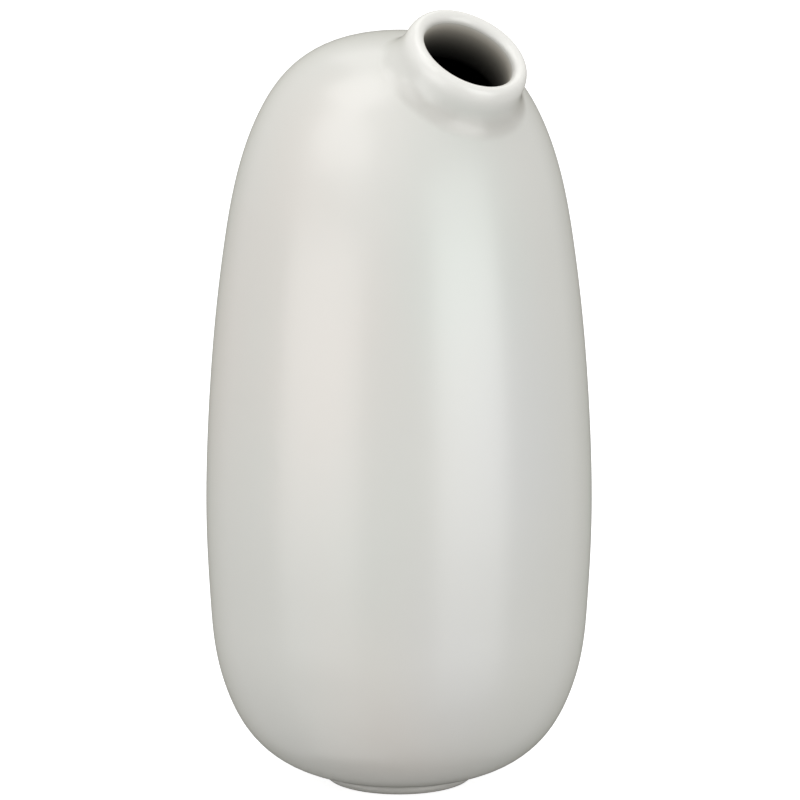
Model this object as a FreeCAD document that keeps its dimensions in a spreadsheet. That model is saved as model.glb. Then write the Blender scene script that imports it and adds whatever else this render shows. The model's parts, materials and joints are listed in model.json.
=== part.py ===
"""Slip-cast ceramic bud vase: a tall rounded body, one short neck set off-centre on the shoulder, and a low ring foot.

The frame has its origin on the table at the middle of the foot, +Z up and +X the way the neck leans.
"""

import FreeCAD, Part
import math
import os

import Sketcher

Vector = FreeCAD.Vector
Constraint = Sketcher.Constraint
UP = Vector(0, 0, 1)
LEAN_AXIS = Vector(0, 1, 0)

# Driving sizes in millimetres, and the neck's two angles in degrees
SIZES = {
    # the body, measured from its underside
    "body_height": 237.4,
    "belly_radius": 61.1,
    "wall_thickness": 4.5,
    "floor_thickness": 6.0,
    # the neck: where its axis crosses the body's own, how it leans, and its outline
    "neck_pivot_drop": 48.0,
    "neck_tilt": 35.3,
    "neck_rise": 5.0,
    "mouth_radius": 15.0,
    "neck_wall": 5.2,
    "root_radius": 4.0,
    "root_slope": 55.0,
    "root_depth": 18.0,
    # the ring foot
    "foot_radius": 23.5,
    "foot_width": 5.0,
    "foot_height": 3.2,
    "foot_outer_edge": 1.6,
    "foot_inner_edge": 0.8,
    "foot_ledge": 1.1,
}

# Poles of the body's side from the underside to the crown. Across, they are shares of the belly's radius,
# and up, shares of the height. The first pole's radius follows the foot instead.
SIDE_RADIUS_SHARES = (0.716, 0.953, 0.980, 1.011, 0.976, 0.914, 0.787, 0.442)
SIDE_HEIGHT_SHARES = (0.015, 0.119, 0.232, 0.359, 0.554, 0.707, 0.899, 1.0)
SPLINE_DEGREE = 3
POLE_MARK_SHARE = 0.02


def make_sheet(doc):
    """The spreadsheet that every sub-part reads."""
    sheet = doc.addObject("Spreadsheet::Sheet", "sizes")
    for row, (alias, size) in enumerate(SIZES.items(), start=1):
        set_size(sheet, row, alias, size)
    doc.recompute()
    return sheet


def set_size(sheet, row, alias, size):
    """Writes one named size in its row."""
    sheet.set(f"A{row}", alias.replace("_", " "))
    sheet.set(f"B{row}", f"{size:.6g}")
    sheet.setAlias(f"B{row}", alias)


def upright_sketch(body, name):
    """An empty sketch on the body's own XZ plane, so that its height runs along Z."""
    sketch = body.newObject("Sketcher::SketchObject", name)
    plane = next(feature for feature in body.Origin.OriginFeatures if feature.Role == "XZ_Plane")
    sketch.AttachmentSupport = (plane, [""])
    sketch.MapMode = "FlatFace"
    return sketch


def bind(sketch, kind, places, formula):
    """Adds a constraint whose value follows a formula in the sheet's sizes."""
    value = sketch.evalExpression(formula)
    if kind == "Angle":
        index = sketch.addConstraint(Constraint(kind, *places, math.radians(value)))
        sketch.setExpression(f"Constraints[{index}]", f"({formula}) * 1 deg")
        return
    index = sketch.addConstraint(Constraint(kind, *places, value))
    sketch.setExpression(f"Constraints[{index}]", formula)


def bind_point(sketch, geometry, end, across, up):
    """Holds a point at two formulas, measured from the sketch's origin. None keeps it on that axis."""
    if across is None:
        sketch.addConstraint(Constraint("PointOnObject", geometry, end, -2))
    else:
        bind(sketch, "DistanceX", (-1, 1, geometry, end), across)
    if up is None:
        sketch.addConstraint(Constraint("PointOnObject", geometry, end, -1))
    else:
        bind(sketch, "DistanceY", (-1, 1, geometry, end), up)


def revolve(doc, body, sketch):
    """Turns a sketch once round the body's Z axis."""
    turned = body.newObject("PartDesign::Revolution", f"{body.Name}_turned")
    turned.Profile = sketch
    turned.ReferenceAxis = (sketch, ["V_Axis"])
    turned.Angle = 360
    doc.recompute()
    return turned


def side_spline(sketch, first_radius, radius, height):
    """The flowing side from the flat underside to the level crown, as one spline held by its poles."""
    across = [first_radius] + [f"{radius} * {share}" for share in SIDE_RADIUS_SHARES] + [None]
    up = [None] + [f"{height} * {share}" for share in SIDE_HEIGHT_SHARES] + [height]
    points = [
        Vector(sketch.evalExpression(x) if x else 0, sketch.evalExpression(y) if y else 0, 0)
        for x, y in zip(across, up)
    ]
    mark = sketch.evalExpression(radius) * POLE_MARK_SHARE
    for index, point in enumerate(points):
        sketch.addGeometry(Part.Circle(point, UP, mark), True)
        if index == 0:
            sketch.addConstraint(Constraint("Weight", 0, 1.0))
        else:
            sketch.addConstraint(Constraint("Equal", 0, index))
    spline = sketch.addGeometry(Part.BSplineCurve(points, None, None, False, SPLINE_DEGREE, None, False))
    for index, (x, y) in enumerate(zip(across, up)):
        pole = Constraint("InternalAlignment:Sketcher::BSplineControlPoint", index, 3, spline, index)
        sketch.addConstraint(pole)
        bind_point(sketch, index, 3, x, y)
    return spline, points


def make_turned_form(doc, name, first_radius, radius, height, lift):
    """A closed solid of revolution with the body's side, standing at a given height."""
    body = doc.addObject("PartDesign::Body", name)
    sketch = upright_sketch(body, f"{name}_outline")
    spline, points = side_spline(sketch, first_radius, radius, height)
    axis = sketch.addGeometry(Part.LineSegment(points[-1], Vector(0, 0, 0)))
    underside = sketch.addGeometry(Part.LineSegment(Vector(0, 0, 0), points[0]))
    sketch.addConstraint(Constraint("Coincident", spline, 2, axis, 1))
    sketch.addConstraint(Constraint("Coincident", axis, 2, -1, 1))
    sketch.addConstraint(Constraint("Coincident", axis, 2, underside, 1))
    sketch.addConstraint(Constraint("Coincident", underside, 2, spline, 1))
    revolve(doc, body, sketch)
    body.setExpression("Placement.Base.z", lift)
    doc.recompute()
    return body


def measure_neck_seat(doc, sheet, outer_form):
    """Adds to the sheet how far along its axis the neck leaves the body's outside."""
    tilt = math.radians(sheet.neck_tilt)
    pivot = Vector(0, 0, sheet.foot_height + sheet.body_height - sheet.neck_pivot_drop)
    along = Vector(math.sin(tilt), 0, math.cos(tilt)) * sheet.body_height
    inside = outer_form.Shape.common(Part.makeLine(pivot, pivot + along))
    set_size(sheet, len(SIZES) + 1, "neck_seat", inside.Length)
    doc.recompute()


def lean_with_neck(feature, along):
    """Places a feature on the neck's axis, a given way along it from the pivot, with its Z along the axis."""
    feature.Placement = FreeCAD.Placement(Vector(0, 0, 0), FreeCAD.Rotation(LEAN_AXIS, SIZES["neck_tilt"]))
    pivot_height = "sizes.foot_height + sizes.body_height - sizes.neck_pivot_drop"
    feature.setExpression("Placement.Rotation.Angle", "sizes.neck_tilt")
    feature.setExpression("Placement.Base.x", f"({along}) * sin(sizes.neck_tilt)")
    feature.setExpression("Placement.Base.z", f"{pivot_height} + ({along}) * cos(sizes.neck_tilt)")


def make_cut(doc, name, base, tool):
    """One solid less another."""
    cut = doc.addObject("Part::Cut", name)
    cut.Base = base
    cut.Tool = tool
    cut.Label = name
    doc.recompute()
    return cut


def make_body_shell(doc, outer_form):
    """The cast body: the outer form less the hollow and the hole under the neck."""
    hollow = make_turned_form(
        doc,
        "hollow",
        "sizes.foot_radius",
        "(sizes.belly_radius - sizes.wall_thickness)",
        "(sizes.body_height - sizes.wall_thickness - sizes.floor_thickness)",
        "sizes.foot_height + sizes.floor_thickness",
    )
    closed_shell = make_cut(doc, "closed_shell", outer_form, hollow)
    hole = doc.addObject("Part::Cylinder", "neck_hole")
    hole.setExpression("Radius", "sizes.mouth_radius")
    hole.setExpression("Height", "2 * sizes.root_depth")
    lean_with_neck(hole, "sizes.neck_seat - sizes.root_depth")
    return make_cut(doc, "body_shell", closed_shell, hole)


def neck_outline(sketch):
    """Half of the neck's section: bore, fully rounded lip, straight wall, and a flared root that runs into the body."""

    def size(formula):
        return sketch.evalExpression(formula)

    bore, rise, depth = size("sizes.mouth_radius"), size("sizes.neck_rise"), size("sizes.root_depth")
    wall, bend = size("sizes.neck_wall"), size("sizes.root_radius")
    slope = math.radians(size("sizes.root_slope"))
    lip_centre = Vector(bore + wall / 2, rise, 0)
    bend_centre = Vector(bore + wall + bend, 0, 0)
    leave = math.pi / 2 * 3 - slope
    root_top = bend_centre + Vector(math.cos(leave), math.sin(leave), 0) * bend
    root_end = Vector(root_top.x + (root_top.y + depth) / math.tan(slope), -depth, 0)
    bore_foot = Vector(bore, -depth, 0)

    bore_line = sketch.addGeometry(Part.LineSegment(bore_foot, Vector(bore, rise, 0)))
    lip = sketch.addGeometry(Part.ArcOfCircle(Part.Circle(lip_centre, UP, wall / 2), 0, math.pi))
    outside = sketch.addGeometry(Part.LineSegment(Vector(bore + wall, rise, 0), Vector(bore + wall, 0, 0)))
    flare = sketch.addGeometry(Part.ArcOfCircle(Part.Circle(bend_centre, UP, bend), math.pi, leave))
    root = sketch.addGeometry(Part.LineSegment(root_top, root_end))
    bottom = sketch.addGeometry(Part.LineSegment(root_end, bore_foot))

    sketch.addConstraint(Constraint("Vertical", bore_line))
    bind_point(sketch, bore_line, 1, "sizes.mouth_radius", "-sizes.root_depth")
    sketch.addConstraint(Constraint("Tangent", bore_line, 2, lip, 2))
    bind(sketch, "DistanceY", (-1, 1, lip, 3), "sizes.neck_rise")
    sketch.addConstraint(Constraint("Tangent", lip, 1, outside, 1))
    sketch.addConstraint(Constraint("Vertical", outside))
    bind(sketch, "DistanceX", (-1, 1, outside, 1), "sizes.mouth_radius + sizes.neck_wall")
    sketch.addConstraint(Constraint("Tangent", outside, 2, flare, 1))
    sketch.addConstraint(Constraint("PointOnObject", flare, 3, -1))
    bind(sketch, "Radius", (flare,), "sizes.root_radius")
    sketch.addConstraint(Constraint("Tangent", flare, 2, root, 1))
    bind(sketch, "Angle", (root,), "-sizes.root_slope")
    sketch.addConstraint(Constraint("Coincident", root, 2, bottom, 1))
    sketch.addConstraint(Constraint("Horizontal", bottom))
    sketch.addConstraint(Constraint("Coincident", bottom, 2, bore_line, 1))


def make_neck_collar(doc, outer_form):
    """The neck, turned on its own leaning axis and trimmed to a saddle on the body's outside."""
    blank = doc.addObject("PartDesign::Body", "neck_blank")
    sketch = upright_sketch(blank, "neck_outline")
    neck_outline(sketch)
    revolve(doc, blank, sketch)
    lean_with_neck(blank, "sizes.neck_seat")
    doc.recompute()
    return make_cut(doc, "neck_collar", blank, outer_form)


def foot_outline(sketch):
    """Section of the ring foot: a level seat for the body above, and two rounded edges below."""
    outer, inner = "sizes.foot_radius", "(sizes.foot_radius - sizes.foot_width)"
    round_out, round_in = "sizes.foot_outer_edge", "sizes.foot_inner_edge"
    corners = [
        (inner, "sizes.foot_height"),
        (inner, round_in),
        (f"{inner} + {round_in}", None),
        (f"{outer} - {round_out}", None),
        (outer, round_out),
        (outer, "sizes.foot_height"),
    ]
    points = [Vector(sketch.evalExpression(x), sketch.evalExpression(y) if y else 0, 0) for x, y in corners]
    for index, start in enumerate(points):
        end = points[(index + 1) % len(points)]
        if index == 1:
            centre = Vector(end.x, start.y, 0)
            circle = Part.Circle(centre, UP, end.x - start.x)
            sketch.addGeometry(Part.ArcOfCircle(circle, math.pi, math.pi / 2 * 3))
        elif index == 3:
            centre = Vector(start.x, end.y, 0)
            circle = Part.Circle(centre, UP, end.x - start.x)
            sketch.addGeometry(Part.ArcOfCircle(circle, -math.pi / 2, 0))
        else:
            sketch.addGeometry(Part.LineSegment(start, end))
    for index, (x, y) in enumerate(corners):
        bind_point(sketch, index, 1, x, y)
        sketch.addConstraint(Constraint("Coincident", index, 2, (index + 1) % len(corners), 1))
    bind(sketch, "Radius", (1,), round_in)
    bind(sketch, "Radius", (3,), round_out)


def make_foot_ring(doc):
    """The ring that the vase stands on."""
    ring = doc.addObject("PartDesign::Body", "foot_ring")
    ring.Label = "foot_ring"
    sketch = upright_sketch(ring, "foot_outline")
    foot_outline(sketch)
    revolve(doc, ring, sketch)
    return ring


def check(doc, sub_parts):
    """Stops if any object failed to rebuild or any sub-part is not one sound solid."""
    for item in doc.Objects:
        if "Invalid" in item.State or "Error" in item.State:
            raise RuntimeError(f"{item.Name} did not rebuild: {item.State}")
    for part in sub_parts:
        if part.Shape.isNull() or not part.Shape.isValid():
            raise RuntimeError(f"{part.Label} is not a valid shape")
        if len(part.Shape.Solids) != 1:
            raise RuntimeError(f"{part.Label} has {len(part.Shape.Solids)} solids")


def main():
    doc = FreeCAD.newDocument("pillow_vase")
    sheet = make_sheet(doc)
    outer_form = make_turned_form(
        doc,
        "outer_form",
        "sizes.foot_radius + sizes.foot_ledge",
        "sizes.belly_radius",
        "sizes.body_height",
        "sizes.foot_height",
    )
    measure_neck_seat(doc, sheet, outer_form)
    sub_parts = [make_body_shell(doc, outer_form), make_neck_collar(doc, outer_form), make_foot_ring(doc)]
    doc.recompute()
    check(doc, sub_parts)
    os.makedirs("parts", exist_ok=True)
    for part in sub_parts:
        part.Shape.exportStep(f"parts/{part.Label}.step")
        box = part.Shape.BoundBox
        print(part.Label, f"{part.Shape.Volume:.0f} mm3", f"z {box.ZMin:.2f} to {box.ZMax:.2f}")
    print(f"neck leaves the body {sheet.neck_seat:.2f} mm along its axis")


main()
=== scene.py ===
"""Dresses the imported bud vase: a cast body, a luted neck with a rounded lip and a ring foot."""

import json
import math

import bmesh
import bpy
from bpy.props import FloatProperty, FloatVectorProperty, IntProperty, PointerProperty
from mathutils import Matrix, Vector
from mathutils.bvhtree import BVHTree
from mathutils.geometry import interpolate_bezier


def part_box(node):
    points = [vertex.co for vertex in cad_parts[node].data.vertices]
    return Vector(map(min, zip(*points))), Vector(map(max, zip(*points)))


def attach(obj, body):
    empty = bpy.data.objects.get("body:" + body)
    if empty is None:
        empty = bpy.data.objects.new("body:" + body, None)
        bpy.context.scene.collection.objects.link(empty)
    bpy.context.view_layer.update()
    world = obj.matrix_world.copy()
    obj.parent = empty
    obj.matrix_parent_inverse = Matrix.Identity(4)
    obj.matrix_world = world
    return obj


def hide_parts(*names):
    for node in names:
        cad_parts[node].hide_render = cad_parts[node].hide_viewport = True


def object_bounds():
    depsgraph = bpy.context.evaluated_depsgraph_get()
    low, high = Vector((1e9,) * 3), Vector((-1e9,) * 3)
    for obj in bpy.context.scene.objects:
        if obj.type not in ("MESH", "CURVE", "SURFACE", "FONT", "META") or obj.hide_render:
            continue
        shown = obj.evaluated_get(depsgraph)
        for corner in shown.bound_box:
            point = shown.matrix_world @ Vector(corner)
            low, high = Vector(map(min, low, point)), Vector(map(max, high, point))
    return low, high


bl_info = {
    "name": "Leaning Neck Bud Vase",
    "version": (1, 0, 0),
    "blender": (4, 5, 0),
    "location": "View3D > Sidebar > Vase",
    "description": "Builds a glazed bud vase round its packed frame",
    "category": "Object",
}

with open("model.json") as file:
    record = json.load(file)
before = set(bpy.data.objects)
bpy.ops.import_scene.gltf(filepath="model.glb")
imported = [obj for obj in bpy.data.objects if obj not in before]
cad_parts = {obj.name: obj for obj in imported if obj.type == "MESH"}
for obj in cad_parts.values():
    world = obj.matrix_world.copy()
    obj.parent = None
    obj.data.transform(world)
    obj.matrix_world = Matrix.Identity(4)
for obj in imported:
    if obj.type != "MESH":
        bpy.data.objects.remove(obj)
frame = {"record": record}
CAD_LOW, CAD_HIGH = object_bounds()
BODY_LOW, BODY_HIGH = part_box("body_shell")
_, FOOT_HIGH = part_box("foot_ring")
MOUTH = next(mount for mount in frame["record"]["mounts"] if mount["name"] == "mouth_bore")
MOUTH_MIDDLE = Vector(MOUTH["pos_m"])
NECK_AXIS = Vector(MOUTH["axis"]).normalized()
Z_AXIS = Vector((0, 0, 1))

# How near two places count as the same, at poles and seams and along a ring
POLE_JOIN = 1e-6
RING_MATCH = 1e-5


class VaseShapeSettings(bpy.types.PropertyGroup):
    """Sizes of the shown pieces"""

    wall: FloatProperty(
        name="Wall",
        description="Thickness of the cast body",
        default=0.0045,
        unit="LENGTH",
    )
    bore: FloatProperty(
        name="Bore",
        description="Radius of the mouth",
        default=MOUTH["dims"]["r_mm"] / 1000,
        unit="LENGTH",
    )
    neck_wall: FloatProperty(
        name="Neck wall",
        description="Thickness of the neck and its lip",
        default=0.0052,
        unit="LENGTH",
    )
    neck_rise: FloatProperty(
        name="Neck rise",
        description="From the body's skin to the lip's middle",
        default=0.005,
        unit="LENGTH",
    )
    flare: FloatProperty(
        name="Root flare",
        description="Reach of the neck's foot over the shoulder",
        default=0.0048,
        unit="LENGTH",
    )
    flare_angle: FloatProperty(
        name="Flare angle",
        description="How far the wall already splays under the lip",
        default=math.radians(4),
        subtype="ANGLE",
    )
    segments: IntProperty(
        name="Segments",
        description="Facets round each turned piece",
        default=176,
        min=24,
    )


class VaseFinishSettings(bpy.types.PropertyGroup):
    """Colours of the glaze and clay"""

    glaze: FloatVectorProperty(
        name="Glaze",
        description="Main colour",
        subtype="COLOR",
        default=(0.702, 0.702, 0.662),
        min=0,
        max=1,
    )
    # Rose, leaf and mist tint the clouds of painted sheen
    rose: FloatVectorProperty(
        name="Rose tint",
        description="Warm cloud in the pearl",
        subtype="COLOR",
        default=(0.728, 0.692, 0.645),
        min=0,
        max=1,
    )
    leaf: FloatVectorProperty(
        name="Leaf tint",
        description="Green cloud in the pearl",
        subtype="COLOR",
        default=(0.678, 0.718, 0.672),
        min=0,
        max=1,
    )
    mist: FloatVectorProperty(
        name="Mist tint",
        description="Cool cloud in the pearl",
        subtype="COLOR",
        default=(0.694, 0.702, 0.692),
        min=0,
        max=1,
    )
    # Painted shade: a darker colour laid round the neck's root and on the foot, where shade falls
    pool: FloatVectorProperty(
        name="Painted shade",
        description="Thick glaze in the neck's root and on the foot",
        subtype="COLOR",
        default=(0.585, 0.575, 0.535),
        min=0,
        max=1,
    )
    # Lighter colour: over the lip partly thinner glaze and partly painted light, on the crown a
    # painted highlight, above the foot painted light
    lip: FloatVectorProperty(
        name="Lip",
        description="Thin glaze over the lip, on the crown and above the foot",
        subtype="COLOR",
        default=(0.87, 0.865, 0.825),
        min=0,
        max=1,
    )
    clay: FloatVectorProperty(
        name="Clay",
        description="Unglazed foot",
        subtype="COLOR",
        default=(0.62, 0.58, 0.52),
        min=0,
        max=1,
    )
    floor: FloatVectorProperty(
        name="Floor",
        description="Table the vase stands on",
        subtype="COLOR",
        default=(0.48, 0.48, 0.48),
        min=0,
        max=1,
    )


def add_piece(name, mesh, slot, *nodes):
    """Links a finished mesh as a piece that rides on the vase and stands for the given nodes."""
    piece = bpy.data.objects.new(name, mesh)
    bpy.context.scene.collection.objects.link(piece)
    mesh.polygons.foreach_set("use_smooth", [True] * len(mesh.polygons))
    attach(piece, "root")
    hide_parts(*nodes)
    return piece


# Poles of the body's side from the underside to the crown, as shares of its radius and height
SIDE_RADIUS_SHARES = (0.716, 0.953, 0.980, 1.011, 0.976, 0.914, 0.787, 0.442)
SIDE_HEIGHT_SHARES = (0.015, 0.119, 0.232, 0.359, 0.554, 0.707, 0.899, 1.0)
UNDERSIDE_RADIUS = 0.0246
SIDE_RESOLUTION = 14


def side_curve():
    """The body's side, from the underside's rim to the crown, as a mesh of edges."""
    radius, height = BODY_HIGH.y, BODY_HIGH.z - BODY_LOW.z
    across = [UNDERSIDE_RADIUS] + [radius * share for share in SIDE_RADIUS_SHARES] + [0.0]
    up = [0.0] + [height * share for share in SIDE_HEIGHT_SHARES] + [height]
    curve = bpy.data.curves.new("side", "CURVE")
    curve.dimensions = "3D"
    spline = curve.splines.new("NURBS")
    spline.points.add(len(across) - 1)
    for point, x, z in zip(spline.points, across, up):
        point.co = (x, 0.0, BODY_LOW.z + z, 1.0)
    spline.order_u = 4
    spline.use_endpoint_u = True
    spline.resolution_u = SIDE_RESOLUTION
    holder = bpy.data.objects.new("side", curve)
    mesh = bpy.data.meshes.new_from_object(holder)
    bpy.data.objects.remove(holder)
    bpy.data.curves.remove(curve)
    return mesh


def turn(form, segments):
    """Spins a section once round Z, closes the poles and points the faces outwards."""
    bmesh.ops.spin(
        form,
        geom=form.verts[:] + form.edges[:],
        cent=Vector(),
        axis=Z_AXIS,
        angle=math.tau,
        steps=segments,
        use_merge=True,
        use_duplicate=False,
    )
    bmesh.ops.remove_doubles(form, verts=form.verts, dist=POLE_JOIN)
    bmesh.ops.recalc_face_normals(form, faces=form.faces)


def outer_form(segments):
    """The body's closed outside, as a bmesh."""
    side = side_curve()
    form = bmesh.new()
    form.from_mesh(side)
    bpy.data.meshes.remove(side)
    form.verts.ensure_lookup_table()
    lowest = min(form.verts, key=lambda vert: vert.co.z)
    middle = form.verts.new((0.0, 0.0, BODY_LOW.z))
    form.edges.new((middle, lowest))
    turn(form, segments)
    return form


def neck_seat(skin):
    """Where the neck's axis leaves the body's outside."""
    start = MOUTH_MIDDLE + NECK_AXIS * BODY_HIGH.z
    place, _, _, _ = skin.ray_cast(start, -NECK_AXIS)
    return place


def neck_matrix(seat):
    """Turns a piece made round Z on to the neck's axis and brings it to its seat."""
    return Matrix.Translation(seat) @ Z_AXIS.rotation_difference(NECK_AXIS).to_matrix().to_4x4()


# The sleeve of the neck that passes through the body's wall, and how far it is let in
PLUG_WALL = 0.0008
PLUG_PLAY = 0.0001
PLUG_DEPTH = 0.0012
# A face lies on the body's inside where it is further from the skin than this share of the wall
INSIDE_SHARE = 0.1


class VASE_OT_body(bpy.types.Operator):
    """Build the cast body with its hollow and the hole under the neck"""

    bl_idname = "vase.body"
    bl_label = "Cast Body"

    def execute(self, context):
        sizes = context.scene.vase_shape
        form = outer_form(sizes.segments)
        skin = BVHTree.FromBMesh(form)
        seat = neck_seat(skin)
        bmesh.ops.solidify(form, geom=form.faces[:], thickness=sizes.wall)
        mesh = bpy.data.meshes.new("vase_body")
        form.to_mesh(mesh)
        form.free()
        body = add_piece("vase_body", mesh, "pearl_glaze", "body_shell")

        drill = bmesh.new()
        hole = sizes.bore + PLUG_WALL + PLUG_PLAY
        bmesh.ops.create_cone(
            drill,
            cap_ends=True,
            segments=sizes.segments,
            radius1=hole,
            radius2=hole,
            depth=sizes.bore * 2,
            matrix=neck_matrix(seat),
        )
        drill_mesh = bpy.data.meshes.new("drill")
        drill.to_mesh(drill_mesh)
        drill.free()
        tool = bpy.data.objects.new("drill", drill_mesh)
        context.scene.collection.objects.link(tool)
        cut = body.modifiers.new("neck_hole", "BOOLEAN")
        cut.operation = "DIFFERENCE"
        cut.object = tool
        cut.solver = "EXACT"
        context.view_layer.update()
        shaped = body.evaluated_get(context.evaluated_depsgraph_get())
        drilled = bpy.data.meshes.new_from_object(shaped)
        body.modifiers.clear()
        body.data = drilled
        drilled.name = "vase_body"
        bpy.data.meshes.remove(mesh)
        bpy.data.objects.remove(tool)
        bpy.data.meshes.remove(drill_mesh)

        body.data.materials.clear()
        body.data.materials.append(pearl_glaze(context.scene.vase_finish))
        # The inside gets the throat's painted shade
        body.data.materials.append(throat_painted_shade(context.scene.vase_finish, seat))
        for face in body.data.polygons:
            _, _, _, away = skin.find_nearest(face.center)
            face.material_index = int(away > sizes.wall * INSIDE_SHARE)
        return {"FINISHED"}


# The neck's half section goes up the bore, over the lip, down a full cheek and out in a small
# hollow on to the shoulder
BORE_STEPS = 12
LIP_STEPS = 12
CHEEK_STEPS = 14
FLARE_STEPS = 22
CHEEK_DROP = 0.0022
CHEEK_PULLS = (0.0015, 0.0026)
FLARE_PULLS = (0.0040, 0.0036)
SKIRT_DEPTH = 0.0006
SKIRT_LIFT = 0.00001


def neck_section(sizes):
    """Points of the neck's closed half section as (out, up, how far it follows the shoulder)."""
    half = sizes.neck_wall / 2
    middle, edge = sizes.bore + half, sizes.bore + sizes.neck_wall + sizes.flare
    sleeve, depth = sizes.bore + PLUG_WALL, sizes.wall + PLUG_DEPTH
    points = []
    for i in range(BORE_STEPS):
        rise = i / BORE_STEPS
        points.append((sizes.bore, (sizes.neck_rise + depth) * rise - depth, 1 - rise))
    for i in range(LIP_STEPS):
        angle = math.pi - math.pi / 2 * i / LIP_STEPS
        out, up = half * math.cos(angle), half * math.sin(angle)
        points.append((middle + out, sizes.neck_rise + up, 0.0))
    crest = Vector((middle, sizes.neck_rise + half))
    cheek = Vector((sizes.bore + sizes.neck_wall, sizes.neck_rise - CHEEK_DROP))
    end = Vector((edge, SKIRT_LIFT))
    level = Vector((1, 0))
    down = Vector((math.sin(sizes.flare_angle), -math.cos(sizes.flare_angle)))
    round_cheek = interpolate_bezier(
        crest,
        crest + level * CHEEK_PULLS[0],
        cheek - down * CHEEK_PULLS[1],
        cheek,
        CHEEK_STEPS + 1,
    )
    points.extend((place.x, place.y, 0.0) for place in round_cheek)
    hollow = interpolate_bezier(
        cheek,
        cheek + down * FLARE_PULLS[0],
        end - level * FLARE_PULLS[1],
        end,
        FLARE_STEPS + 1,
    )
    for i, place in enumerate(hollow[1:], start=1):
        share = i / FLARE_STEPS
        points.append((place.x, place.y, share * share * (3 - 2 * share)))
    points.append((edge - SKIRT_DEPTH, -SKIRT_DEPTH, 1.0))
    points.append((sleeve, -SKIRT_DEPTH, 1.0))
    points.append((sleeve, -depth, 1.0))
    return points


class VASE_OT_neck(bpy.types.Operator):
    """Turn the neck on its own axis and let its root flow over the shoulder"""

    bl_idname = "vase.neck"
    bl_label = "Luted Neck"

    def execute(self, context):
        sizes = context.scene.vase_shape
        shoulder = outer_form(sizes.segments)
        skin = BVHTree.FromBMesh(shoulder)
        shoulder.free()
        seat = neck_seat(skin)

        form = bmesh.new()
        follow = form.verts.layers.float.new("follow")
        corners = []
        for out, up, share in neck_section(sizes):
            corner = form.verts.new((out, 0.0, up))
            corner[follow] = share
            corners.append(corner)
        for near, far in zip(corners, corners[1:] + corners[:1]):
            form.edges.new((near, far))
        turn(form, sizes.segments)
        edge = sizes.bore + sizes.neck_wall + sizes.flare
        for side in form.edges:
            side.smooth = not all(
                abs(vert.co.to_2d().length - edge) < POLE_JOIN for vert in side.verts
            )
        bmesh.ops.transform(form, matrix=neck_matrix(seat), verts=form.verts)
        for vert in form.verts:
            if vert[follow] > 0:
                away = (vert.co - seat).dot(NECK_AXIS)
                foot = vert.co - NECK_AXIS * away
                place, _, _, _ = skin.ray_cast(foot + NECK_AXIS * sizes.bore, -NECK_AXIS)
                vert.co += (place - foot) * vert[follow]
        form.verts.layers.float.remove(follow)
        mesh = bpy.data.meshes.new("vase_neck")
        form.to_mesh(mesh)
        form.free()

        neck = add_piece("vase_neck", mesh, "pearl_glaze", "neck_collar")
        neck.data.materials.append(pearl_glaze(context.scene.vase_finish))
        # The bore gets the throat's painted shade
        neck.data.materials.append(throat_painted_shade(context.scene.vase_finish, seat))
        for face in neck.data.polygons:
            away = face.center - seat
            rise = away.dot(NECK_AXIS)
            out = (away - NECK_AXIS * rise).length
            in_bore = out < sizes.bore + PLUG_WALL / 2 and rise < sizes.neck_rise
            face.material_index = int(in_bore)
        return {"FINISHED"}


# The foot's width, its worn edges, the cove of glaze under the body and where the glaze ends
FOOT_WIDTH = 0.005
FOOT_INNER_EDGE = 0.0008
FOOT_OUTER_EDGE = 0.0016
FOOT_COVE = 0.0011
FOOT_RINGS = 6
GLAZE_LINE = 0.0005


class VASE_OT_foot(bpy.types.Operator):
    """Turn the ring that the vase stands on"""

    bl_idname = "vase.foot"
    bl_label = "Ring Foot"

    def execute(self, context):
        segments = context.scene.vase_shape.segments
        outside, height = FOOT_HIGH.y, FOOT_HIGH.z
        inside = outside - FOOT_WIDTH
        section = [(inside, 0.0, height), (inside, 0.0, 0.0), (outside, 0.0, 0.0)]
        for i in range(FOOT_RINGS + 1):
            angle = math.pi / 2 * i / FOOT_RINGS
            out = FOOT_COVE * (1 - math.cos(angle))
            section.append((outside + out, 0.0, height - FOOT_COVE * (1 - math.sin(angle))))
        form = bmesh.new()
        corners = [form.verts.new(place) for place in section]
        for near, far in zip(corners, corners[1:] + corners[:1]):
            form.edges.new((near, far))
        turn(form, segments)
        for radius, roundness in ((inside, FOOT_INNER_EDGE), (outside, FOOT_OUTER_EDGE)):
            rim = [
                edge
                for edge in form.edges
                if all(
                    vert.co.z < POLE_JOIN
                    and abs(vert.co.to_2d().length - radius) < RING_MATCH
                    for vert in edge.verts
                )
            ]
            bmesh.ops.bevel(
                form,
                geom=rim,
                offset=roundness,
                offset_type="OFFSET",
                affect="EDGES",
                segments=FOOT_RINGS,
                profile=0.5,
                material=-1,
            )
        mesh = bpy.data.meshes.new("vase_foot")
        form.to_mesh(mesh)
        form.free()

        foot = add_piece("vase_foot", mesh, "bare_clay", "foot_ring")
        foot.data.materials.append(pearl_glaze(context.scene.vase_finish))
        foot.data.materials.append(bare_clay(context.scene.vase_finish))
        for face in foot.data.polygons:
            out = face.center.to_2d().length
            bare = face.center.z < GLAZE_LINE or out < outside - GLAZE_LINE
            face.material_index = int(bare)
        return {"FINISHED"}


def start_material(name):
    """A new material with its shader and place socket, or the ready one with None for both."""
    material = bpy.data.materials.get(name)
    if material:
        return material, None, None
    material = bpy.data.materials.new(name)
    material.use_nodes = True
    nodes = material.node_tree.nodes
    place = nodes.new("ShaderNodeTexCoord").outputs["Object"]
    return material, nodes["Principled BSDF"], place


def add_math(tree, kind, operation, *values):
    """A math node that is fed with sockets or plain values."""
    node = tree.nodes.new(kind)
    node.operation = operation
    for socket, value in zip(node.inputs, values):
        if isinstance(value, bpy.types.NodeSocket):
            tree.links.new(value, socket)
        else:
            socket.default_value = value
    return node


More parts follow.
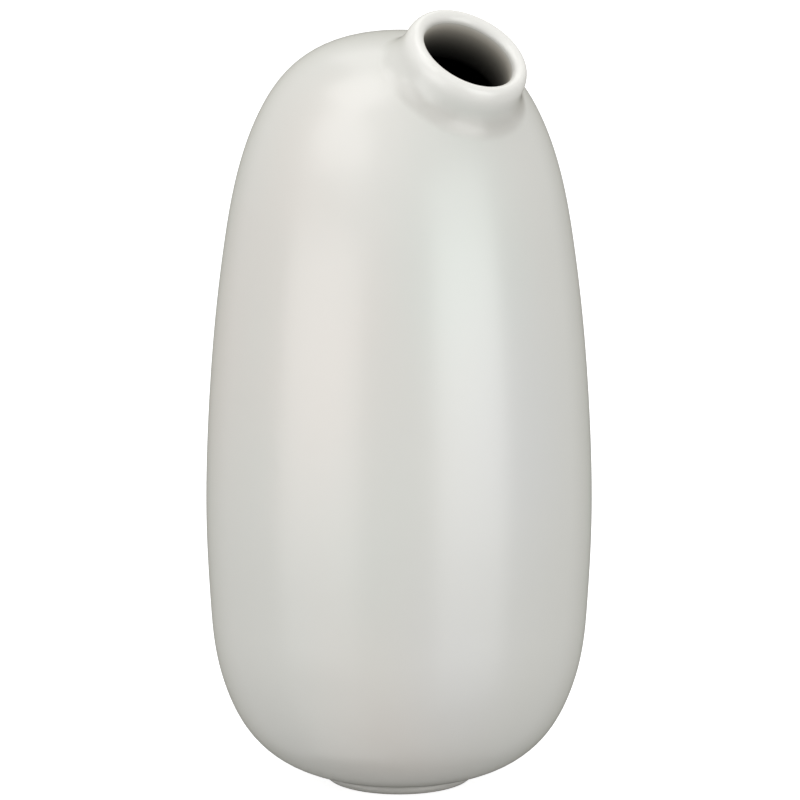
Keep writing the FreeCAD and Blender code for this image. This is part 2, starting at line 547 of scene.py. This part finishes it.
def add_fade(tree, value, low, high, start=0.0, end=1.0, smooth=True):
    """Goes from start to end while a value goes from low to high."""
    fade = tree.nodes.new("ShaderNodeMapRange")
    if smooth:
        fade.interpolation_type = "SMOOTHSTEP"
    fade.inputs["From Min"].default_value = low
    fade.inputs["From Max"].default_value = high
    fade.inputs["To Min"].default_value = start
    fade.inputs["To Max"].default_value = end
    tree.links.new(value, fade.inputs["Value"])
    return fade.outputs["Result"]


def blend_tint(tree, mask, under, tint, strength):
    """Lays a tint over a colour where a mask is 1, and gives the new colour's socket."""
    mix = tree.nodes.new("ShaderNodeMix")
    mix.data_type = "RGBA"
    amount = add_math(tree, "ShaderNodeMath", "MULTIPLY", mask, strength)
    tree.links.new(amount.outputs["Value"], mix.inputs["Factor"])
    if isinstance(under, bpy.types.NodeSocket):
        tree.links.new(under, mix.inputs["A"])
    else:
        mix.inputs["A"].default_value = (*under, 1.0)
    mix.inputs["B"].default_value = (*tint, 1.0)
    return mix.outputs["Result"]


def add_noise(tree, place, scale, detail):
    """A noise on Object coordinates."""
    noise = tree.nodes.new("ShaderNodeTexNoise")
    noise.inputs["Scale"].default_value = scale
    noise.inputs["Detail"].default_value = detail
    tree.links.new(place, noise.inputs["Vector"])
    return noise.outputs["Fac"]


def add_bump(tree, shader, height, strength, distance):
    """Gives a shader relief from a height."""
    bump = tree.nodes.new("ShaderNodeBump")
    bump.inputs["Strength"].default_value = strength
    bump.inputs["Distance"].default_value = distance
    tree.links.new(height, bump.inputs["Height"])
    tree.links.new(bump.outputs["Normal"], shader.inputs["Normal"])


def add_height(tree, place):
    """How high a place is, as a socket."""
    parts = tree.nodes.new("ShaderNodeSeparateXYZ")
    tree.links.new(place, parts.inputs["Vector"])
    return parts.outputs["Z"]


def add_along(tree, place):
    """How far a place is along the neck's axis, as a socket."""
    return add_math(
        tree, "ShaderNodeVectorMath", "DOT_PRODUCT", place, NECK_AXIS
    ).outputs["Value"]


# Painted shade round the neck's root, where the lip shades the shoulder: distances from the neck's
# axis, how deep it starts, the heights over which it fades towards the crown, and its strength
ROOT_SHADE_RADII = (0.0195, 0.0224, 0.0262)
ROOT_SHADE_DEPTHS = (-0.012, -0.007)
ROOT_SHADE_HEIGHTS = (0.238, 0.226)
ROOT_SHADE_STRENGTH = 0.85


def add_root_shade(tree, place, along, mouth):
    """A ring of painted shade round the neck's root, 1 in its middle where it faces down and 0
    outside.
    """
    shift = add_math(tree, "ShaderNodeVectorMath", "SUBTRACT", place, MOUTH_MIDDLE)
    across = add_math(
        tree, "ShaderNodeVectorMath", "CROSS_PRODUCT", shift.outputs["Vector"], NECK_AXIS
    )
    length = add_math(tree, "ShaderNodeVectorMath", "LENGTH", across.outputs["Vector"])
    out = length.outputs["Value"]
    inner, middle, outer = ROOT_SHADE_RADII
    share = add_fade(tree, out, inner, middle)
    for value, low, high in (
        (out, outer, middle),
        (along, mouth + ROOT_SHADE_DEPTHS[0], mouth + ROOT_SHADE_DEPTHS[1]),
        (add_height(tree, place), *ROOT_SHADE_HEIGHTS),
    ):
        fade = add_fade(tree, value, low, high)
        share = add_math(tree, "ShaderNodeMath", "MULTIPLY", share, fade).outputs["Value"]
    return share


# Painted sheen: the pearl's iridescent tints laid on as fixed clouds, the front ones where they
# show from the camera, and the lighter lip colour on the crown a painted highlight. Colour, degrees
# round the vase, height, reach across and strength of each soft cloud; how much taller than wide a
# cloud is, and how far its edge wanders
PAINTED_SHEEN_CLOUDS = (
    ("rose", 24.0, 0.150, 0.034, 0.9),
    ("rose", -18.0, 0.150, 0.030, 0.6),
    ("rose", 12.0, 0.226, 0.050, 0.9),
    ("lip", 33.0, 0.250, 0.042, 0.5),
    ("rose", 48.0, 0.004, 0.046, 1.0),
    ("leaf", 72.0, 0.192, 0.034, 1.0),
    ("leaf", 44.0, 0.080, 0.026, 0.25),
    ("mist", 84.0, 0.120, 0.034, 0.7),
    ("mist", 66.0, 0.050, 0.028, 0.6),
    ("rose", 205.0, 0.160, 0.040, 0.9),
    ("leaf", 150.0, 0.090, 0.036, 0.8),
    ("mist", 270.0, 0.110, 0.040, 0.9),
    ("leaf", 300.0, 0.180, 0.034, 0.7),
)
CLOUD_STRETCH = 2.4
CLOUD_WANDER = 0.5
CLOUD_GRAIN = (28.0, 3.0)


def direction(azimuth, elevation):
    """Unit vector from the vase towards a place on the camera's own dial."""
    a, e = math.radians(azimuth), math.radians(elevation)
    return Vector((math.sin(a) * math.cos(e), -math.cos(a) * math.cos(e), math.sin(e)))


def add_sheen_cloud(tree, place, wander, around, height, reach):
    """A tall patch on the vase's side, 1 in its middle and 0 outside, with a wandering edge."""
    middle = direction(around, 0) * CAD_HIGH.y + Z_AXIS * height
    shares = (1 / reach, 1 / reach, 1 / (reach * CLOUD_STRETCH))
    shift = add_math(tree, "ShaderNodeVectorMath", "SUBTRACT", place, middle)
    squash = add_math(
        tree, "ShaderNodeVectorMath", "MULTIPLY", shift.outputs["Vector"], shares
    )
    away = add_math(tree, "ShaderNodeVectorMath", "LENGTH", squash.outputs["Vector"])
    edge = add_math(
        tree, "ShaderNodeMath", "MULTIPLY_ADD", wander, CLOUD_WANDER, away.outputs["Value"]
    )
    far, near = 1 + CLOUD_WANDER / 2, CLOUD_WANDER / 2
    patch = add_fade(tree, edge.outputs["Value"], far, near, smooth=False)
    return add_fade(tree, patch, 0.0, 1.0)


# Where the colour turns lighter over the lip, partly thinner glaze and partly painted light, as
# distances along the neck's axis from the bore's middle
LIP_PALE = (0.0010, 0.0080)
# The heights over which painted light lightens the underside towards the foot and painted shade
# darkens the foot itself, and how strongly
FOOT_PAINTED_LIGHT = (0.016, 0.005)
FOOT_PAINTED_SHADE = (0.0042, 0.0030)
FOOT_STRENGTH = 0.9
# How far the glaze faces away, from where its gloss starts to fade to where it is gone
RIM = (0.55, 0.93)
# Shader settings of the glaze: facing the eye and at the rim
GLAZE_GLOSS = (("Specular IOR Level", 0.5, 0.0), ("Roughness", 0.3, 0.9))
# The glaze's refraction, and its clear top, which takes more of the light the further it turns away
GLAZE_BODY = {
    "IOR": 2.0,
    "Coat Weight": 0.5,
    "Coat IOR": 1.0,
    "Coat Roughness": 0.32,
    "Coat Tint": (0.918, 0.915, 0.905, 1.0),
}
RIPPLE_GRAIN = (60.0, 3.0)
RIPPLE_BUMP = (0.15, 0.0004)


def pearl_glaze(finish):
    """Off-white glaze with a soft lustre: faint tinted clouds of painted sheen, a lighter lip,
    painted shade round the neck's root and on the foot, painted light above the foot, a fine ripple
    and a clear top.
    """
    material, shader, place = start_material("vase_pearl_glaze")
    if shader is None:
        return material
    tree = material.node_tree
    wander = add_noise(tree, place, *CLOUD_GRAIN)
    colour = tuple(finish.glaze)
    # Clouds of painted sheen
    for tint, around, height, reach, strength in PAINTED_SHEEN_CLOUDS:
        cloud = add_sheen_cloud(tree, place, wander, around, height, reach)
        colour = blend_tint(tree, cloud, colour, getattr(finish, tint), strength)
    along = add_along(tree, place)
    mouth = MOUTH_MIDDLE.dot(NECK_AXIS)
    # Painted shade in the hollow round the neck's root
    ring = add_fade(tree, add_root_shade(tree, place, along, mouth), 0.0, 1.0)
    colour = blend_tint(tree, ring, colour, finish.pool, ROOT_SHADE_STRENGTH)
    # Lighter over the lip: partly thinner glaze, partly painted light
    over_lip = add_fade(tree, along, mouth + LIP_PALE[0], mouth + LIP_PALE[1])
    colour = blend_tint(tree, over_lip, colour, finish.lip, 1.0)
    height = add_height(tree, place)
    # Painted light on the underside above the foot, then painted shade on the foot
    for limits, tint in ((FOOT_PAINTED_LIGHT, finish.lip), (FOOT_PAINTED_SHADE, finish.pool)):
        colour = blend_tint(tree, add_fade(tree, height, *limits), colour, tint, FOOT_STRENGTH)
    tree.links.new(colour, shader.inputs["Base Color"])
    facing = tree.nodes.new("ShaderNodeLayerWeight").outputs["Facing"]
    for socket, straight, grazing in GLAZE_GLOSS:
        gloss = add_fade(tree, facing, *RIM, straight, grazing, smooth=False)
        tree.links.new(gloss, shader.inputs[socket])
    add_bump(tree, shader, add_noise(tree, place, *RIPPLE_GRAIN), *RIPPLE_BUMP)
    for socket, value in GLAZE_BODY.items():
        shader.inputs[socket].default_value = value
    return material


# Painted shade down the bore: where the glaze's own colour ends, where the painted dark is full,
# and the shades between
THROAT_TOP = 0.0055
THROAT_FLOOR = -0.0080
THROAT_SHADES = ((0.12, 0.80), (0.28, 0.38), (0.5, 0.15), (0.74, 0.04))
THROAT_DARKEST = 0.004
THROAT_TINT = (1.0, 0.94, 0.86)
THROAT_ROUGHNESS = 0.6
THROAT_GLOSS = 0.25


def throat_painted_shade(finish, seat):
    """The glaze inside the mouth and the body, with painted shade that darkens it to near black on
    the way down.
    """
    material, shader, place = start_material("vase_throat_painted_shade")
    if shader is None:
        return material
    tree = material.node_tree
    top = seat.dot(NECK_AXIS)
    depth = add_fade(
        tree, add_along(tree, place), top + THROAT_TOP, top + THROAT_FLOOR, smooth=False
    )
    ramp = tree.nodes.new("ShaderNodeValToRGB")
    ramp.color_ramp.interpolation = "B_SPLINE"
    deep = Vector(finish.glaze) * Vector(THROAT_TINT)
    first, last = ramp.color_ramp.elements
    first.color = (*finish.glaze, 1.0)
    last.color = (*(deep * THROAT_DARKEST), 1.0)
    for stop, share in THROAT_SHADES:
        ramp.color_ramp.elements.new(stop).color = (*(deep * share), 1.0)
    tree.links.new(depth, ramp.inputs["Fac"])
    tree.links.new(ramp.outputs["Color"], shader.inputs["Base Color"])
    shader.inputs["Roughness"].default_value = THROAT_ROUGHNESS
    shader.inputs["Specular IOR Level"].default_value = THROAT_GLOSS
    return material


# Bare clay: each layer's noise, where the noise counts, how dark the layer is and its strength
CLAY_GRAIN = (1400.0, 4.0)
CLAY_PATCHES = (120.0, 3.0)
CLAY_GRAIN_LIMITS = (0.55, 0.75)
CLAY_PATCH_LIMITS = (0.35, 0.7)
CLAY_GRAIN_SHADE = 0.6
CLAY_PATCH_SHADE = 0.82
CLAY_GRAIN_STRENGTH = 0.5
CLAY_PATCH_STRENGTH = 0.7
CLAY_BUMP = (0.5, 0.0002)
CLAY_ROUGHNESS = 0.85


def bare_clay(finish):
    """Matte fired clay with a fine sandy grain."""
    material, shader, place = start_material("vase_bare_clay")
    if shader is None:
        return material
    tree = material.node_tree
    clay = Vector(finish.clay)
    grain = add_noise(tree, place, *CLAY_GRAIN)
    patch = add_noise(tree, place, *CLAY_PATCHES)
    mask = add_fade(tree, patch, *CLAY_PATCH_LIMITS)
    colour = blend_tint(tree, mask, clay, clay * CLAY_PATCH_SHADE, CLAY_PATCH_STRENGTH)
    mask = add_fade(tree, grain, *CLAY_GRAIN_LIMITS)
    colour = blend_tint(tree, mask, colour, clay * CLAY_GRAIN_SHADE, CLAY_GRAIN_STRENGTH)
    tree.links.new(colour, shader.inputs["Base Color"])
    add_bump(tree, shader, grain, *CLAY_BUMP)
    shader.inputs["Roughness"].default_value = CLAY_ROUGHNESS
    return material


# The photograph's view: degrees, metres, millimetres of lens, and what the camera looks at
CAMERA_AZIMUTH = 48.0
CAMERA_ELEVATION = 12.7
CAMERA_DISTANCE = 2.3
CAMERA_LENS = 327.5
CAMERA_AIM = 0.1231
CAMERA_SIDE = 0.0003
CAMERA_CLIP = (0.05, 50.0)

# Each light: degrees round from the camera, metres away, metres up, width, height, watts
SOFTBOXES = {
    "softbox_left": (-48.0, 0.80, 0.14, 0.74, 0.28, 0.83),
    "softbox_left_high": (-52.0, 0.80, 0.75, 0.80, 0.45, 1.02),
    "softbox_right": (43.0, 0.80, 0.14, 0.64, 0.28, 0.97),
    "softbox_right_high": (43.0, 0.80, 0.41, 0.64, 0.26, 0.46),
    "softbox_top": (-76.0, 0.44, 1.25, 0.75, 0.75, 2.10),
    "softbox_back": (180.0, 0.60, 1.00, 0.75, 0.75, 1.25),
}
# The world's light on the vase; the floor's glow to the camera, and its glow in the vase's gloss
AMBIENT = 0.77
FLOOR_GLOW = 0.86
FLOOR_GLOSS_GLOW = 0.25
FLOOR_RADIUS = 6.0
FLOOR_SEGMENTS = 96
FLOOR_DROP = 0.0001
FLOOR_ROUGHNESS = 0.2
FLOOR_POLISH = 0.9
WHITE = (1.0, 1.0, 1.0, 1.0)


def add_camera(scene):
    """The photograph's view."""
    back = direction(CAMERA_AZIMUTH, CAMERA_ELEVATION)
    right = Z_AXIS.cross(back).normalized()
    aim = Vector((0, 0, CAMERA_AIM)) + right * CAMERA_SIDE
    camera = bpy.data.objects.new("camera", bpy.data.cameras.new("camera"))
    camera.data.lens = CAMERA_LENS
    camera.data.clip_start, camera.data.clip_end = CAMERA_CLIP
    camera.location = aim + back * CAMERA_DISTANCE
    camera.rotation_mode = "QUATERNION"
    camera.rotation_quaternion = back.to_track_quat("Z", "Y")
    scene.collection.objects.link(camera)
    scene.camera = camera


def add_softbox(scene, name, round_from_camera, away, up, width, height, watts):
    """One rectangular light that faces the vase."""
    aim = Vector((0, 0, min(up, CAMERA_AIM * 2)))
    place = direction(CAMERA_AZIMUTH + round_from_camera, 0) * away + Z_AXIS * up
    lamp = bpy.data.lights.new(name, "AREA")
    lamp.shape = "RECTANGLE"
    lamp.size, lamp.size_y, lamp.energy = width, height, watts
    holder = bpy.data.objects.new(name, lamp)
    holder.location = place
    holder.rotation_mode = "QUATERNION"
    holder.rotation_quaternion = (place - aim).to_track_quat("Z", "Y")
    holder.visible_camera = False
    scene.collection.objects.link(holder)


def shown_rays(tree, share):
    """1 for what the camera sees, and a share of it for what shows in gloss or through glass."""
    path = tree.nodes.new("ShaderNodeLightPath")
    most = path.outputs["Is Camera Ray"]
    for kind in ("Is Glossy Ray", "Is Transmission Ray"):
        part = add_math(tree, "ShaderNodeMath", "MULTIPLY", path.outputs[kind], share)
        larger = add_math(tree, "ShaderNodeMath", "MAXIMUM", most, part.outputs["Value"])
        most = larger.outputs["Value"]
    return most


def floor_finish(colour):
    """A pale floor that is white to the camera and dim in the vase's gloss."""
    material = bpy.data.materials.new("floor")
    material.use_nodes = True
    tree = material.node_tree
    shader = tree.nodes["Principled BSDF"]
    shader.inputs["Base Color"].default_value = (*colour, 1.0)
    shader.inputs["Roughness"].default_value = FLOOR_ROUGHNESS
    seen = tree.nodes.new("ShaderNodeLightPath").outputs["Is Camera Ray"]
    polish = add_fade(tree, seen, 0.0, 1.0, FLOOR_POLISH, 0.0, smooth=False)
    tree.links.new(polish, shader.inputs["Metallic"])
    tree.links.new(polish, shader.inputs["Specular IOR Level"])
    shown = shown_rays(tree, FLOOR_GLOSS_GLOW / FLOOR_GLOW)
    glow = add_fade(tree, shown, 0.0, 1.0, 0.0, FLOOR_GLOW, smooth=False)
    shader.inputs["Emission Color"].default_value = WHITE
    tree.links.new(glow, shader.inputs["Emission Strength"])
    return material


class VASE_OT_stage(bpy.types.Operator):
    """Set the floor, the lights, the white surround and the camera"""

    bl_idname = "vase.stage"
    bl_label = "Studio"

    def execute(self, context):
        scene = context.scene
        form = bmesh.new()
        bmesh.ops.create_circle(
            form, cap_ends=True, segments=FLOOR_SEGMENTS, radius=FLOOR_RADIUS
        )
        mesh = bpy.data.meshes.new("floor")
        form.to_mesh(mesh)
        form.free()
        floor = bpy.data.objects.new("floor", mesh)
        floor.location.z = -FLOOR_DROP
        scene.collection.objects.link(floor)
        mesh.materials.append(floor_finish(scene.vase_finish.floor))

        world = bpy.data.worlds.new("surround")
        world.use_nodes = True
        scene.world = world
        background = world.node_tree.nodes["Background"]
        background.inputs["Color"].default_value = WHITE
        shown = shown_rays(world.node_tree, 1.0)
        level = add_fade(world.node_tree, shown, 0.0, 1.0, AMBIENT, 1.0, smooth=False)
        world.node_tree.links.new(level, background.inputs["Strength"])

        for name, place in SOFTBOXES.items():
            add_softbox(scene, name, *place)
        add_camera(scene)
        scene.view_settings.view_transform = "Standard"
        return {"FINISHED"}


class VASE_PT_panel(bpy.types.Panel):
    """Sizes, colours and steps of the vase"""

    bl_idname = "VASE_PT_panel"
    bl_label = "Bud Vase"
    bl_space_type = "VIEW_3D"
    bl_region_type = "UI"
    bl_category = "Vase"

    def draw(self, context):
        for settings in (context.scene.vase_shape, context.scene.vase_finish):
            box = self.layout.box()
            for key in settings.__annotations__:
                box.prop(settings, key)
        for step in STEPS:
            self.layout.operator(step.bl_idname)


STEPS = (VASE_OT_body, VASE_OT_neck, VASE_OT_foot, VASE_OT_stage)
CLASSES = (VaseShapeSettings, VaseFinishSettings, *STEPS, VASE_PT_panel)


def register():
    for kind in CLASSES:
        bpy.utils.register_class(kind)
    bpy.types.Scene.vase_shape = PointerProperty(type=VaseShapeSettings)
    bpy.types.Scene.vase_finish = PointerProperty(type=VaseFinishSettings)


def unregister():
    del bpy.types.Scene.vase_finish
    del bpy.types.Scene.vase_shape
    for kind in reversed(CLASSES):
        bpy.utils.unregister_class(kind)


def main():
    register()
    bpy.ops.vase.body()
    bpy.ops.vase.neck()
    bpy.ops.vase.foot()
    bpy.ops.vase.stage()


if __name__ == "__main__":
    main()
